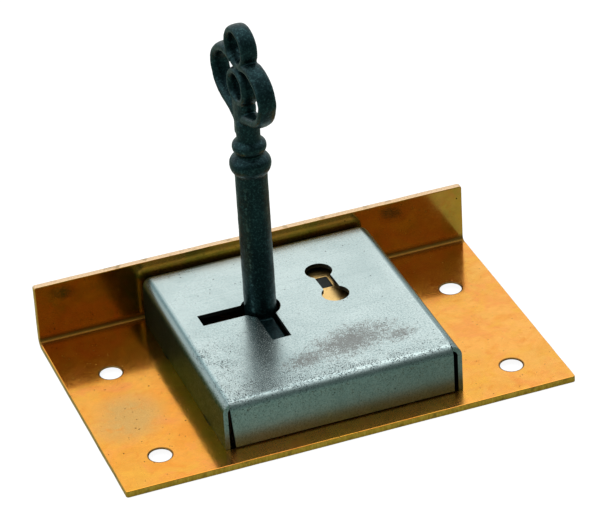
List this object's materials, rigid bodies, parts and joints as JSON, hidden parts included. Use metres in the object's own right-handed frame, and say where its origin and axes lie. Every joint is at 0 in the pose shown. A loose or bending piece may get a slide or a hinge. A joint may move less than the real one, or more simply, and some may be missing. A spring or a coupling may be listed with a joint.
{
  "type": "cut drawer lock",
  "caption": "Surface-let drawer or cupboard lever lock with folded brass plate and selvedge, steel cap, sliding bolt, pivoted levers and a pipe key.",
  "frame": {"origin": "centre of the back plate's underside, the face that is seen when the lock is fitted", "axes": "+X along the plate's long side, +Y towards the selvedge, the way the bolt is thrown, +Z from the plate up through the cap towards the key's bow"},
  "size_m": [0.0762, 0.0476, 0.061],
  "materials": {
    "plate_brass": "polished sheet brass with fine scratches and a light tarnish",
    "cap_steel": "satin cold-rolled steel with dark pits and a rubbed patch",
    "bolt_brass": "machined brass, satin",
    "lever_brass": "stamped brass sheet, satin",
    "post_steel": "turned steel, riveted ends",
    "spring_steel": "blued spring strip",
    "key_iron": "dark grained casting, slightly polished by handling"
  },
  "bodies": {
    "case": {"back_plate": "plate_brass", "cap": "cap_steel", "drill_pin": "post_steel", "lever_pivot_post": "post_steel", "lever_base_washer": "post_steel", "lever_pack_spacer": "lever_brass", "bolt_guide_post": "post_steel", "bolt_rest_collar": "lever_brass", "lever_stop_pin": "post_steel"},
    "key": {"key": "key_iron"},
    "bolt": {"bolt": "bolt_brass", "bolt_stump": "post_steel"},
    "lever_1": {"lever_1": "lever_brass", "lever_spring_1": "spring_steel"},
    "lever_2": {"lever_2": "lever_brass", "lever_spring_2": "spring_steel"},
    "lever_3": {"lever_3": "lever_brass", "lever_spring_3": "spring_steel"},
    "lever_4": {"lever_4": "lever_brass", "lever_spring_4": "spring_steel"}
  },
  "joints": [
    {"name": "key_turn", "type": "hinge", "parent": "case", "child": "key", "pos_m": [-0.00504, 0.0048, 0.00965], "axis": [0, 0, 1], "range_deg": [0, 130]},
    {"name": "bolt_throw", "type": "slide", "parent": "case", "child": "bolt", "axis": [0, 1, 0], "range_m": [0, 0.0055]},
    {"name": "lever_1_lift", "type": "hinge", "parent": "case", "child": "lever_1", "pos_m": [0.0135, -0.0135, 0.0018], "axis": [0, 0, -1], "range_deg": [0, 6.2], "deforming": ["lever_spring_1"]},
    {"name": "lever_2_lift", "type": "hinge", "parent": "case", "child": "lever_2", "pos_m": [0.0135, -0.0135, 0.0027], "axis": [0, 0, -1], "range_deg": [0, 4.8], "deforming": ["lever_spring_2"]},
    {"name": "lever_3_lift", "type": "hinge", "parent": "case", "child": "lever_3", "pos_m": [0.0135, -0.0135, 0.0036], "axis": [0, 0, -1], "range_deg": [0, 4], "deforming": ["lever_spring_3"]},
    {"name": "lever_4_lift", "type": "hinge", "parent": "case", "child": "lever_4", "pos_m": [0.0135, -0.0135, 0.0045], "axis": [0, 0, -1], "range_deg": [0, 5.4], "deforming": ["lever_spring_4"]}
  ],
  "couplings": [
    {"joint": "bolt_throw", "follows": "key_turn", "m_per_rad": 0.002424},
    {"joint": "lever_1_lift", "follows": "key_turn", "ratio": 0.047692},
    {"joint": "lever_2_lift", "follows": "key_turn", "ratio": 0.036923},
    {"joint": "lever_3_lift", "follows": "key_turn", "ratio": 0.030769},
    {"joint": "lever_4_lift", "follows": "key_turn", "ratio": 0.041538}
  ]
}
